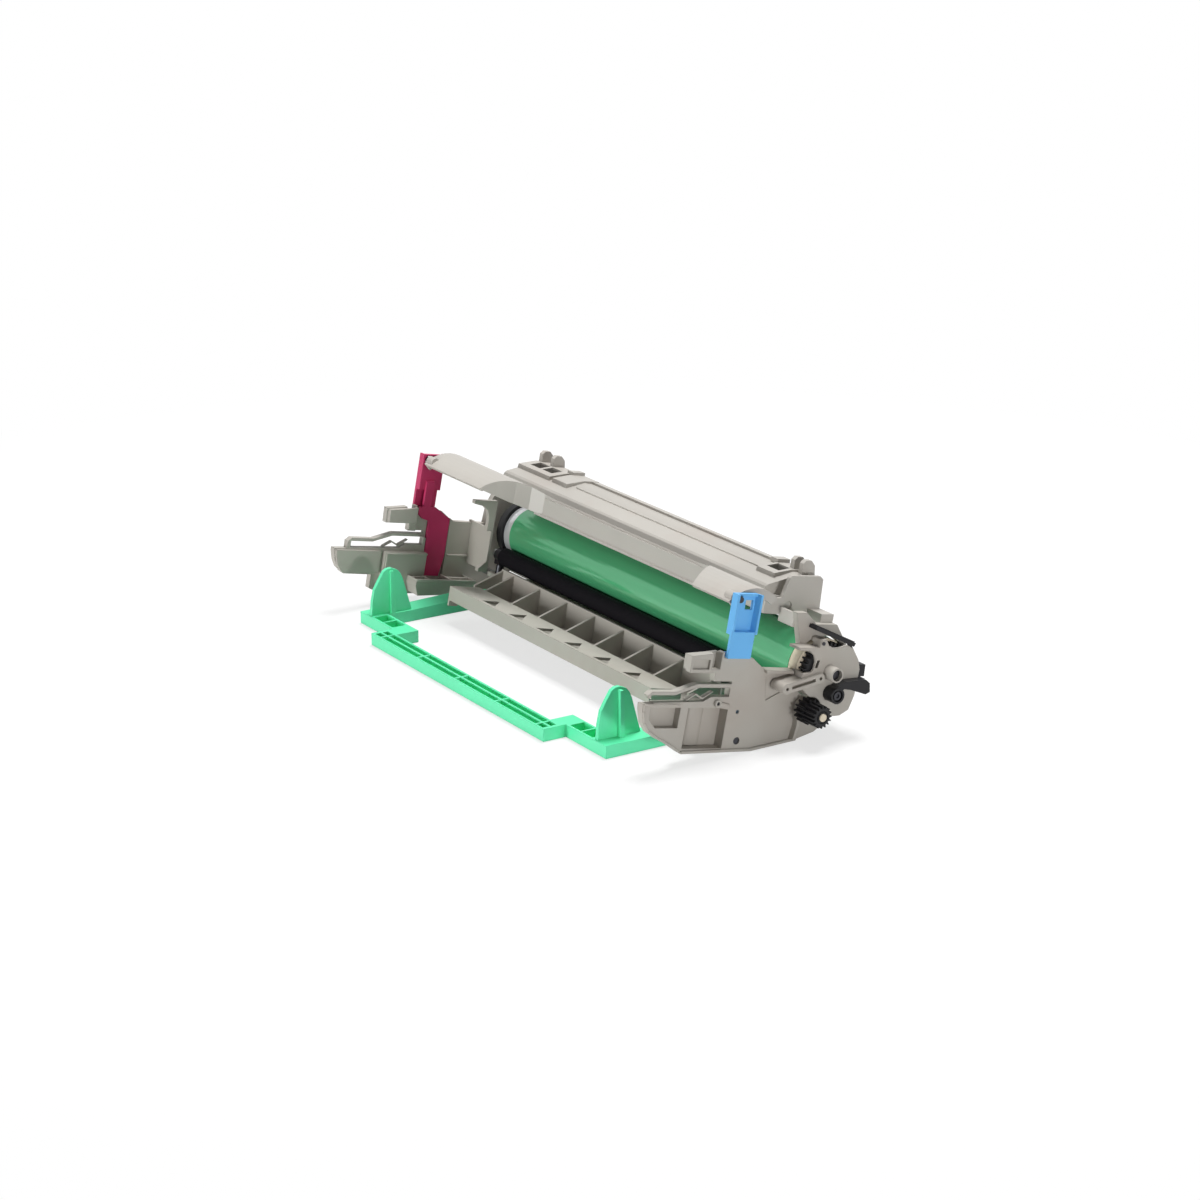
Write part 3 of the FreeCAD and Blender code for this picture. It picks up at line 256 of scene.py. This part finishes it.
def moulded(name, tone, gloss, grain=0.00003, shift=0.05, edge=0.0004, specks=0.0,
            shine=0.45):
    finish = Finish(name)
    patches = finish.noise(PATCH_SCALE, 3.0)
    base = finish.mix(patches.step(*PATCH_RAMP), dimmed(tone, 1 - DARK_SIDE * shift),
                      dimmed(tone, 1 + shift))
    if specks:
        speck = finish.noise(SPECK_SCALE, 5.0, 0.7).step(*SPECK_RAMP) * specks
        base = finish.mix(speck, base, dimmed(tone, SPECK_DEPTH))
        handled = finish.noise(HANDLED_SCALE, 3.0, 0.6).step(*HANDLED_RAMP) * HANDLED_SHARE
        base = finish.mix(handled, base, tinted(tone, *HANDLED_TINT))
    fine = finish.noise(GRAIN_SCALE, 2.0)
    soft = finish.out("ShaderNodeBevel", {"Radius": edge}, {"samples": 4})
    bump = finish.out("ShaderNodeBump", {"Height": fine, "Distance": grain,
                                         "Strength": GRAIN_STRENGTH, "Normal": soft})
    finish.feed(Base_Color=base, Roughness=patches * GLOSS_SWING + (gloss - GLOSS_SWING / 2),
                Specular_IOR_Level=shine, Normal=bump)
    return finish.material


grey = moulded("grey_moulding", colour(172, 168, 160), 0.5, edge=0.0006, specks=0.25)
pale_grey = moulded("pale_grey_moulding", colour(178, 174, 167), 0.42, shift=0.03,
                    specks=0.12)
green = moulded("green_moulding", colour(96, 230, 174), 0.4, shift=0.03)
magenta = moulded("magenta_moulding", colour(190, 42, 96), 0.42)
blue = moulded("blue_moulding", colour(100, 178, 236), 0.4, shift=0.04)
cream = moulded("cream_moulding", colour(214, 202, 180), 0.45)
black = moulded("black_moulding", colour(22, 22, 25), 0.42, shift=0.12, shine=0.3)
print("plastics made, grey is", [round(channel, 3) for channel in colour(172, 168, 160)])

# %% [markdown]
# Rubber
# The charge roller and the blade's lip are matte black rubber. They need the same
# patches and grain as a moulding, with a deeper grain and hardly any shine, so
# the same function makes them instead of a second one.

# %% Rubber
rubber = moulded("black_rubber", colour(13, 11, 16), 0.8, grain=0.00005, shift=0.12,
                 shine=0.12)
print("made", rubber.name)

# %% [markdown]
# Metal pieces
# Shafts, pins and screws are turned or drawn steel, and some are blackened. Fine
# rings run round them. An anisotropic shader could bend the highlight, but it
# needs tangents, so a noise squeezed along the piece makes the rings in tone,
# gloss and relief.

# %% Steel
RING_SCALE = 60.0
RING_SQUEEZE = (40.0, 1.0, 1.0)
RING_DEPTH = 0.00001
RING_STRENGTH = 0.4
RING_TONE = 0.85
RING_GLOSS = 0.2


def turned_steel(name, tone, rough):
    finish = Finish(name)
    rings = finish.noise(RING_SCALE, 4.0, 0.6, RING_SQUEEZE)
    bump = finish.out("ShaderNodeBump", {"Height": rings, "Distance": RING_DEPTH,
                                         "Strength": RING_STRENGTH})
    finish.feed(Base_Color=finish.mix(rings, dimmed(tone, RING_TONE), tone), Metallic=1.0,
                Roughness=rings * RING_GLOSS + (rough - RING_GLOSS / 2), Normal=bump)
    return finish.material


steel = turned_steel("turned_steel", colour(190, 190, 192), 0.28)
# This dark steel also covers the roller springs, where its darkness is painted shade.
dark_steel = turned_steel("blackened_steel_and_painted_shade", colour(70, 70, 74), 0.36)
print("made", steel.name, "and", dark_steel.name)

# %% [markdown]
# The drum
# The tube is bare aluminium at its left end and coated along the rest. The
# coating is a thin green film over metal: it looks deep green where it mirrors
# the dark inside of the unit and pale where it mirrors the lit front. Two pieces
# could show the two zones, but the real tube is one piece, so a mask along the
# drum's own axis marks the bare ring. A coat layer over a slightly metallic base
# gives the film its depth.

# %% Drum coating
DRUM_LEFT = -0.1261
BARE_RING = 0.0055
RING_EDGE = 0.0003
STREAK_SCALE = 30.0
STREAK_SQUEEZE = (0.12, 3.0, 3.0)
STREAK_ROUGH = 0.06
FILM_METAL = 0.3
FILM_ROUGH = 0.16
FILM_COAT = 0.6
COAT_ROUGH = 0.05
BARE_METAL = 0.6
BARE_ROUGH = 0.22
drum_finish = Finish("drum_coating")
film_from = DRUM_LEFT + BARE_RING
bare = drum_finish.axis("X").step(film_from + RING_EDGE, film_from)
streak = drum_finish.noise(STREAK_SCALE, 3.0, 0.5, STREAK_SQUEEZE)
film = drum_finish.mix(streak.step(*PATCH_RAMP), colour(76, 172, 118), colour(90, 186, 132))
drum_finish.feed(
    Base_Color=drum_finish.mix(bare, film, colour(232, 233, 236)),
    Metallic=bare * (BARE_METAL - FILM_METAL) + FILM_METAL,
    Roughness=bare * (BARE_ROUGH - FILM_ROUGH) + FILM_ROUGH + streak * STREAK_ROUGH,
    Coat_Weight=(1 - bare) * FILM_COAT,
    Coat_Roughness=COAT_ROUGH,
)
print("film starts at", round(film_from, 4), "m")

# %% [markdown]
# Giving each node its finish
# A node of the engineering model keeps its shape. Only the material in its slot
# changes, so the shapes stay true to the solids. A list of nodes for each finish
# is easier to check against the real object than a rule on names.

# %% Assign finishes
finishes = {
    grey: ["left_side_plate", "right_side_plate", "gear_cover", "trough", "rear_frame",
           "guide_springs"],
    pale_grey: ["cleaner_box", "shutter"],
    green: ["handle"],
    magenta: ["left_link"],
    blue: ["right_link"],
    cream: ["drum_right_collar", "pinion_shaft"],
    black: ["drum_left_flange", "drum_gear", "idler_gear", "drive_pinion", "cover_bush",
            "latch_lever", "gear_guard", "roller_bearings"],
    rubber: ["charge_roller", "blade_lip"],
    # The roller springs take the dark steel as painted shade deep in the unit; the screws,
    # pins and shaft are blackened steel.
    dark_steel: ["side_screws", "shutter_pins", "drum_shaft", "latch_screw",
                 "roller_springs"],
    steel: ["roller_core", "handle_pins", "blade_bracket"],
    drum_finish.material: ["drum_tube"],
}
for material, names in finishes.items():
    for name in names:
        node = bpy.data.objects[name]
        node.data.materials.clear()
        node.data.materials.append(material)
print("finished nodes", sum(len(names) for names in finishes.values()))

# %% [markdown]
# The unit leans
# The grey unit rests on the rear edges of its side plates and leans back. Its
# small mouldings are straight in its own frame, so they are given there in
# millimetres: across to the right, deep to the rear and high. Turning each one by
# eye would work too, but one function keeps them all at the same lean.

# %% From the unit's frame to the scene
LEAN = math.radians(11.0)
SHIFT_ACROSS = -8.1
SHIFT_DEEP = 35.8
MM = 0.001
UPRIGHT = (-LEAN, 0, 0)
SIDEWAYS = (0, math.radians(90), 0)


def in_world(across, deep, high):
    """A point of the leaning unit, in metres of the scene."""
    return Vector((
        SHIFT_ACROSS + across,
        SHIFT_DEEP + deep * math.cos(LEAN) + high * math.sin(LEAN),
        -deep * math.sin(LEAN) + high * math.cos(LEAN),
    )) * MM


print("unit's origin is at", [round(value, 4) for value in in_world(0, 0, 0)])

# %% [markdown]
# Settling a small moulding
# Real mouldings have no sharp edge, so each added piece gets a bevel. It could
# stay a live modifier, but it is applied, so that the mesh is what shows. The
# place is applied to the mesh too, because a pattern on object coordinates would
# slide or turn otherwise.

# %% Settling a small moulding
SMOOTH_UNDER = math.radians(35)
BEVEL_STEPS = 2


def settle(piece, name, material, soft):
    """Fix the piece's place, soften its edges and give it its finish."""
    bpy.ops.object.transform_apply(location=True, rotation=True, scale=True)
    bevel = piece.modifiers.new("soft_edges", "BEVEL")
    bevel.width = soft * MM
    bevel.segments = BEVEL_STEPS
    bpy.ops.object.modifier_apply(modifier=bevel.name)
    bpy.ops.object.shade_smooth_by_angle(angle=SMOOTH_UNDER)
    piece.name = name
    piece.data.name = name
    piece.data.materials.clear()
    piece.data.materials.append(material)
    return piece


print("edges are smoothed under", round(math.degrees(SMOOTH_UNDER)), "degrees")

# %% [markdown]
# Bars and rods
# The reliefs are short straight runs and round stubs. Each starts as a cube or a
# cylinder at its size and place in the unit's frame, given by its two ends or its
# middle, because those are what can be read off the real plate. Typing corner
# points would say the same with many more numbers.


# %% Bars and rods
def bar(name, across, first, last, wide, material, soft=0.25):
    """A straight bar from first to last, each a depth and a height."""
    run = (last[0] - first[0], last[1] - first[1])
    middle = ((first[0] + last[0]) / 2, (first[1] + last[1]) / 2)
    bpy.ops.object.select_all(action="DESELECT")
    bpy.ops.mesh.primitive_cube_add(
        size=1.0, location=in_world((across[0] + across[1]) / 2, *middle),
        rotation=(math.atan2(run[1], run[0]) - LEAN, 0, 0))
    piece = bpy.context.object
    piece.scale = ((across[1] - across[0]) * MM, math.hypot(*run) * MM, wide * MM)
    return settle(piece, name, material, soft)


def rod(name, middle, radius, length, turn, facets, material, soft, flat=1.0):
    """A round rod about its middle. A flat below 1 makes it narrower across."""
    bpy.ops.object.select_all(action="DESELECT")
    bpy.ops.mesh.primitive_cylinder_add(
        vertices=facets, radius=radius * MM, depth=length * MM,
        location=in_world(*middle), rotation=turn)
    piece = bpy.context.object
    piece.scale = (flat, 1.0, 1.0)
    return settle(piece, name, material, soft)


print("bars and rods can be made")

# %% [markdown]
# Joining what belongs together
# Bars of one relief are one moulding on the real plate. Parenting would keep them
# as many pieces, so they are joined into one mesh, which rides on the frame as
# the plates do.


# %% Joining what belongs together
def merged(name, pieces):
    """Several primitives of one moulding as one piece on the frame."""
    bpy.ops.object.select_all(action="DESELECT")
    for piece in pieces:
        piece.select_set(True)
    bpy.context.view_layer.objects.active = pieces[0]
    if len(pieces) > 1:
        bpy.ops.object.join()
    whole = bpy.context.object
    whole.name = name
    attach(whole, "frame")
    print(name, "faces", len(whole.data.polygons))


print("reliefs ride on the frame")

# %% [markdown]
# Bead round the right nose
# A rounded bead stiffens the rim of the right plate's nose. It could be a curve
# with a round profile, but the real bead has short straight runs with soft
# corners, so one softened bar is laid between each two points of the rim.

# %% Bead round the right nose
NOSE_RIM = [(-74.0, 16.6), (-94.6, 16.6), (-94.4, 13.4), (-93.0, 7.9), (-89.8, 3.8),
            (-84.2, 0.7), (-78.2, -1.9), (-70.6, -6.0)]
BEAD_ACROSS = (144.8, 146.7)
BEAD_WIDE = 1.1
BEAD_SOFT = 0.4
beads = []
for count, (first, last) in enumerate(zip(NOSE_RIM, NOSE_RIM[1:])):
    beads.append(bar("bead%d" % count, BEAD_ACROSS, first, last, BEAD_WIDE, grey, BEAD_SOFT))
merged("nose_bead", beads)

# %% [markdown]
# Band in the tall recess
# The floor of the tall recess swells into a soft upright band. Only its crown
# shows, so a flattened rod sunk in the floor is enough, where a lofted patch
# would have to be fitted to the recess on all four sides.

# %% Band in the tall recess
BAND_MIDDLE = (140.1, -61.0, 5.2)
BAND_RADIUS = 4.6
BAND_TALL = 19.3
BAND_FLAT = 0.36
BAND_SOFT = 0.4
band = rod("band", BAND_MIDDLE, BAND_RADIUS, BAND_TALL, UPRIGHT, 48, grey, BAND_SOFT,
           BAND_FLAT)
merged("recess_band", [band])

# %% [markdown]
# Tube beside the guide slit
# A short open tube stands out of the right plate below the slit, and a fairing
# runs from it to the rear. Cutting the hole with a second solid would leave
# ragged edges, so the tube's end is inset and pushed in. A dark softened plug
# sits a little way down the hole as painted shade: the open hole is dark only
# from shade, and the black plug paints that shade in.

# %% Tube beside the guide slit
TUBE_DEEP = -53.6
TUBE_HIGH = 17.4
TUBE_MIDDLE = 146.1
TUBE_RADIUS = 1.9
TUBE_LONG = 3.0
TUBE_SOFT = 0.2
TUBE_RIM = 0.75
BORE_DEEP = 1.2
FACES_OUT = 0.99
FAIRING_ACROSS = (144.6, 147.0)
FAIRING_FRONT = (-53.4, 16.9)
FAIRING_REAR = (-46.2, 15.6)
FAIRING_WIDE = 3.0
FAIRING_SOFT = 0.8
# Size and place of the black plug, which is painted shade inside the hole
SHADE_PLUG_MIDDLE = 146.9
SHADE_PLUG_RADIUS = 0.9
SHADE_PLUG_LONG = 0.8


def bore(piece, rim, deep):
    """Sink a round hole into the end of the piece that faces +X."""
    for face in piece.data.polygons:
        face.select = face.normal.x > FACES_OUT
    bpy.ops.object.mode_set(mode="EDIT")
    bpy.ops.mesh.select_mode(type="FACE")
    bpy.ops.mesh.inset(thickness=rim * MM)
    bpy.ops.mesh.extrude_region_move(TRANSFORM_OT_translate={"value": (-deep * MM, 0, 0)})
    bpy.ops.object.mode_set(mode="OBJECT")


tube = rod("tube", (TUBE_MIDDLE, TUBE_DEEP, TUBE_HIGH), TUBE_RADIUS, TUBE_LONG, SIDEWAYS,
           32, grey, TUBE_SOFT)
bore(tube, TUBE_RIM, BORE_DEEP)
fairing = bar("fairing", FAIRING_ACROSS, FAIRING_FRONT, FAIRING_REAR, FAIRING_WIDE, grey,
              FAIRING_SOFT)
merged("slit_tube", [tube, fairing])
# A black plug inside the bore: painted shade, not a real part
painted_shade_plug = rod("painted_shade_plug", (SHADE_PLUG_MIDDLE, TUBE_DEEP, TUBE_HIGH), SHADE_PLUG_RADIUS, SHADE_PLUG_LONG, SIDEWAYS,
           24, black, TUBE_SOFT)
merged("slit_tube_painted_shade", [painted_shade_plug])

# %% [markdown]
# Raised outline on the left plate
# The inner face of the left plate carries a thin raised line along the top and
# front of its nose, and a second one farther back. Thin bars half sunk in the
# face give the line its own small shadow, which a painted line would lack.

# %% Raised outline on the left plate
NOSE_LINE_ACROSS = (-139.0, -137.8)
NOSE_LINE_START = (-70.8, 15.9)
NOSE_LINE_END = (-45.4, 15.9)
FRONT_LINE_TOP = (-70.4, 15.9)
FRONT_LINE_FOOT = (-70.4, 4.4)
NOSE_LINE_WIDE = 0.9
REAR_LINE_ACROSS = (-142.6, -140.6)
REAR_LINE_START = (-31.2, 15.2)
REAR_LINE_END = (-18.2, 15.2)
REAR_LINE_WIDE = 1.0
merged("left_outline", [
    bar("nose_top", NOSE_LINE_ACROSS, NOSE_LINE_START, NOSE_LINE_END, NOSE_LINE_WIDE, grey),
    bar("nose_front", NOSE_LINE_ACROSS, FRONT_LINE_TOP, FRONT_LINE_FOOT, NOSE_LINE_WIDE, grey),
    bar("rear_top", REAR_LINE_ACROSS, REAR_LINE_START, REAR_LINE_END, REAR_LINE_WIDE, grey),
])

# %% [markdown]
# Rails on the left shelf
# The shelf of the left plate is ribbed: a long rail at its inner edge, two short
# ones behind it and four ribs across. Each rib is the same bar at another depth,
# so a loop lays them.

# %% Rails on the left shelf
SHELF_FRONT = -55.8
SHELF_REAR = -18.2
RAIL_HIGH = 3.5
RAIL_TALL = 1.6
EDGE_HIGH = 3.6
EDGE_TALL = 1.8
EDGE_ACROSS = (-129.4, -128.1)
SHORT_ACROSS = (-136.4, -135.3)
SHORT_GAP = (-46.4, -33.0)
RIB_ACROSS = (-142.0, -128.6)
RIB_PLACES = (-55.4, -46.5, -32.9, -18.8)
RIB_HALF = 0.5
rails = [
    bar("edge_rail", EDGE_ACROSS, (SHELF_FRONT, EDGE_HIGH), (SHELF_REAR, EDGE_HIGH),
        EDGE_TALL, grey),
    bar("front_rail", SHORT_ACROSS, (SHELF_FRONT, RAIL_HIGH), (SHORT_GAP[0], RAIL_HIGH),
        RAIL_TALL, grey),
    bar("rear_rail", SHORT_ACROSS, (SHORT_GAP[1], RAIL_HIGH), (SHELF_REAR, RAIL_HIGH),
        RAIL_TALL, grey),
]
for count, deep in enumerate(RIB_PLACES):
    rails.append(bar("rib%d" % count, RIB_ACROSS, (deep - RIB_HALF, RAIL_HIGH),
                     (deep + RIB_HALF, RAIL_HIGH), RAIL_TALL, grey))
merged("shelf_rails", rails)

# %% [markdown]
# Web between the box and the right plate
# A thin upright wall closes the gap between the box's end plate and the right
# plate. Either plate could be drawn wider, but only the front of the wall shows,
# so one softened bar stands between them.

# %% Web between the box and the right plate
WEB_ACROSS = (130.8, 142.6)
WEB_FOOT = (-13.7, 53.6)
WEB_TOP = (-13.7, 60.4)
WEB_THICK = 1.8
web = bar("web", WEB_ACROSS, WEB_FOOT, WEB_TOP, WEB_THICK, pale_grey)
merged("end_web", [web])

# %% [markdown]
# Ridge along the lid
# A low ridge runs along the lid of the box and throws a thin shadow. It is less
# than a millimetre high, so a long softened bar is the plainest way to it.

# %% Ridge along the lid
RIDGE_ACROSS = (-62.0, 104.0)
RIDGE_FRONT = (-8.4, 72.6)
RIDGE_REAR = (-7.2, 72.95)
RIDGE_HIGH = 0.9
ridge = bar("ridge", RIDGE_ACROSS, RIDGE_FRONT, RIDGE_REAR, RIDGE_HIGH, pale_grey)
merged("lid_ridge", [ridge])

# %% [markdown]
# White background
# The object stands on a white sweep with a soft shadow. Strong lamps could wash
# the floor out, but they would bleach the object too. So the floor and the world
# look white to the camera and in mirrors, by the kind of ray that meets them, and
# for all other rays they are as dim as a studio.


# %% Rays that see the background
def seen_rays(tree):
    """1 for a ray from the camera, a mirror or a clear pane."""
    rays = add_node(tree, "ShaderNodeLightPath", {}, {})
    camera, glossy, clear = (Wire(tree, rays.outputs[name]) for name in (
        "Is Camera Ray", "Is Glossy Ray", "Is Transmission Ray"))
    return (camera + glossy + clear).clamp()


def blend_to(tree, kind, factor, first, second):
    """Show the first output where the factor is 0, and the second where it is 1."""
    blend = add_node(tree, "ShaderNodeMixShader", {}, {0: factor, 1: first, 2: second})
    outlet = next(node for node in tree.nodes if node.type == kind)
    feed(tree, outlet.inputs["Surface"], Wire(tree, blend.outputs[0]))


print("background rays known")

# %% [markdown]
# Floor
# Near the object the floor lets part of its own shading through, so that the
# contact shadow stays, and farther out it turns plain white, so that no edge of
# the floor shows. A shadow catcher would need the compositor, so the floor's
# material mixes a white glow over its shading, by the distance from the middle.

# %% Floor
FLOOR_SIDE = 8.0
FLOOR_DROP = 0.0002
FLOOR_SEEN = (0.95, 0.95, 0.95, 1)
FLOOR_UNSEEN = (0.66, 0.66, 0.66, 1)
FLOOR_ROUGH = 0.7
FLOOR_SHINE = 0.1
SHADOW_SHARE = 0.3
SHADOW_NEAR = 0.34
SHADOW_FAR = 0.6
bpy.ops.object.select_all(action="DESELECT")
bpy.ops.mesh.primitive_plane_add(size=FLOOR_SIDE, location=(0, 0, -FLOOR_DROP))
floor = bpy.context.object
floor.name = "floor"
floor_finish = Finish("floor_white")
floor.data.materials.append(floor_finish.material)
across, back = floor_finish.axis("X"), floor_finish.axis("Y")
reach = (across * across + back * back) ** 0.5
seen = seen_rays(floor_finish.tree)
floor_finish.feed(Base_Color=floor_finish.mix(seen, FLOOR_UNSEEN, FLOOR_SEEN),
                  Roughness=FLOOR_ROUGH, Specular_IOR_Level=FLOOR_SHINE)
cover = seen * (reach.step(SHADOW_NEAR, SHADOW_FAR) * SHADOW_SHARE + (1 - SHADOW_SHARE))
shaded = Wire(floor_finish.tree, floor_finish.shader.outputs[0])
glow = floor_finish.out("ShaderNodeEmission")
blend_to(floor_finish.tree, "OUTPUT_MATERIAL", cover, shaded, glow)
print("floor laid, shadow kept to", SHADOW_NEAR, "m")

# %% [markdown]
# World
# The world fills the shadows a little. A bright world would flatten the deep
# bays of the tray, so its light is kept low, while the same rays as on the floor
# still see it as white.

# %% World
AMBIENT = 0.15
world = bpy.data.worlds.new("studio")
bpy.context.scene.world = world
world.use_nodes = True
sky = world.node_tree
dim = next(node for node in sky.nodes if node.type == "BACKGROUND")
feed(sky, dim.inputs["Color"], (1, 1, 1, 1))
feed(sky, dim.inputs["Strength"], AMBIENT)
bright = add_node(sky, "ShaderNodeBackground", {}, {"Strength": 1.0})
blend_to(sky, "OUTPUT_WORLD", seen_rays(sky), Wire(sky, dim.outputs[0]),
         Wire(sky, bright.outputs[0]))
print("world ambient", AMBIENT)

# %% [markdown]
# Lamps
# The picture has a broad light above and behind the object and weaker ones low
# in front and at the right, which leave the inner walls dark. Sun lamps would
# throw hard shadows, so three square lamps of different sizes are used, each
# turned to the middle of the object.


# %% Lamps
def lamp(name, place, side, watts):
    """A square lamp that faces the middle of the object."""
    data = bpy.data.lights.new(name, "AREA")
    data.shape = "SQUARE"
    data.size = side
    data.energy = watts
    made = bpy.data.objects.new(name, data)
    bpy.context.scene.collection.objects.link(made)
    made.location = place
    made.rotation_euler = (-Vector(place)).to_track_quat("-Z", "Y").to_euler()
    print(name, watts, "W")


lamp("key_lamp", (-0.15, 0.4, 1.5), 0.7, 30.0)
lamp("side_lamp", (1.7, 0.0, 0.1), 0.2, 9.0)
lamp("front_lamp", (-0.1, -1.7, 0.2), 0.4, 17.0)
bpy.context.scene.view_settings.view_transform = "Standard"
